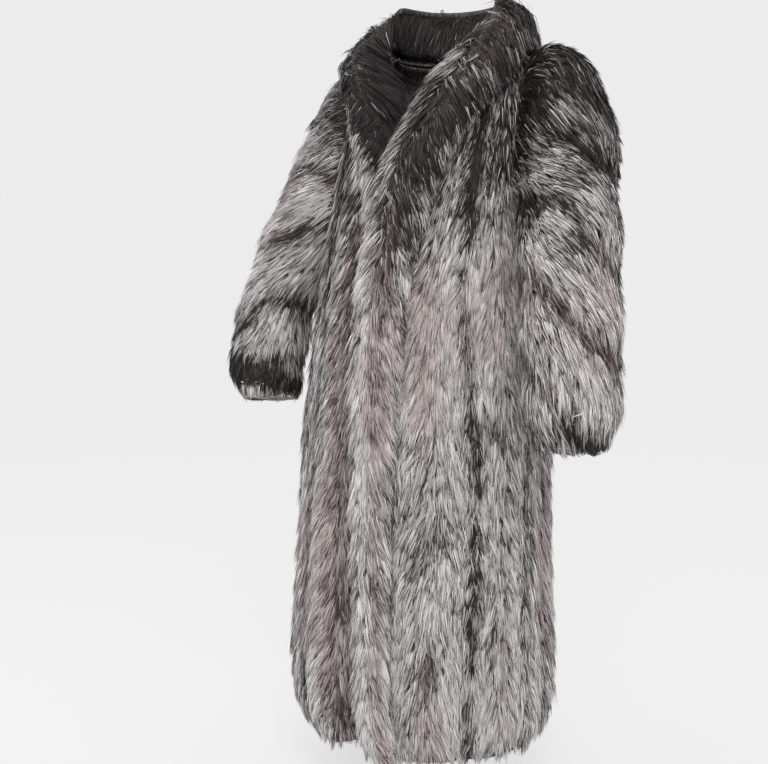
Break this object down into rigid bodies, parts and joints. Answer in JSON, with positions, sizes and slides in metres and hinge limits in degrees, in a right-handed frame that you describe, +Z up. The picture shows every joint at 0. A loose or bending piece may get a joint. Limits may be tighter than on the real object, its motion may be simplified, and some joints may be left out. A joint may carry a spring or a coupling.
{
  "type": "fur coat",
  "caption": "Full-length long-haired fur coat in its worn form: hollow body, wide shawl collar, tuxedo front bands, lapped front and full sleeves.",
  "frame": {"origin": "middle of the neckline, at the height where the yoke rests on the wearer's shoulders", "axes": "+Z up along the coat; the front faces -Y; the wearer's left arm is on +X"},
  "size_m": [0.8239, 0.4374, 1.3952],
  "materials": {
    "fur": "long silver guard hair over a grey-brown underfur",
    "dark_fur": "long hair, darker: black-brown with silver tips"
  },
  "bodies": {
    "root": {"back": "fur", "front_left": "fur", "front_right": "fur", "sleeve_left": "fur", "sleeve_right": "fur", "collar_left": "dark_fur", "collar_right": "dark_fur", "tuxedo_band_left": "fur", "tuxedo_band_right": "fur"}
  },
  "joints": []
}
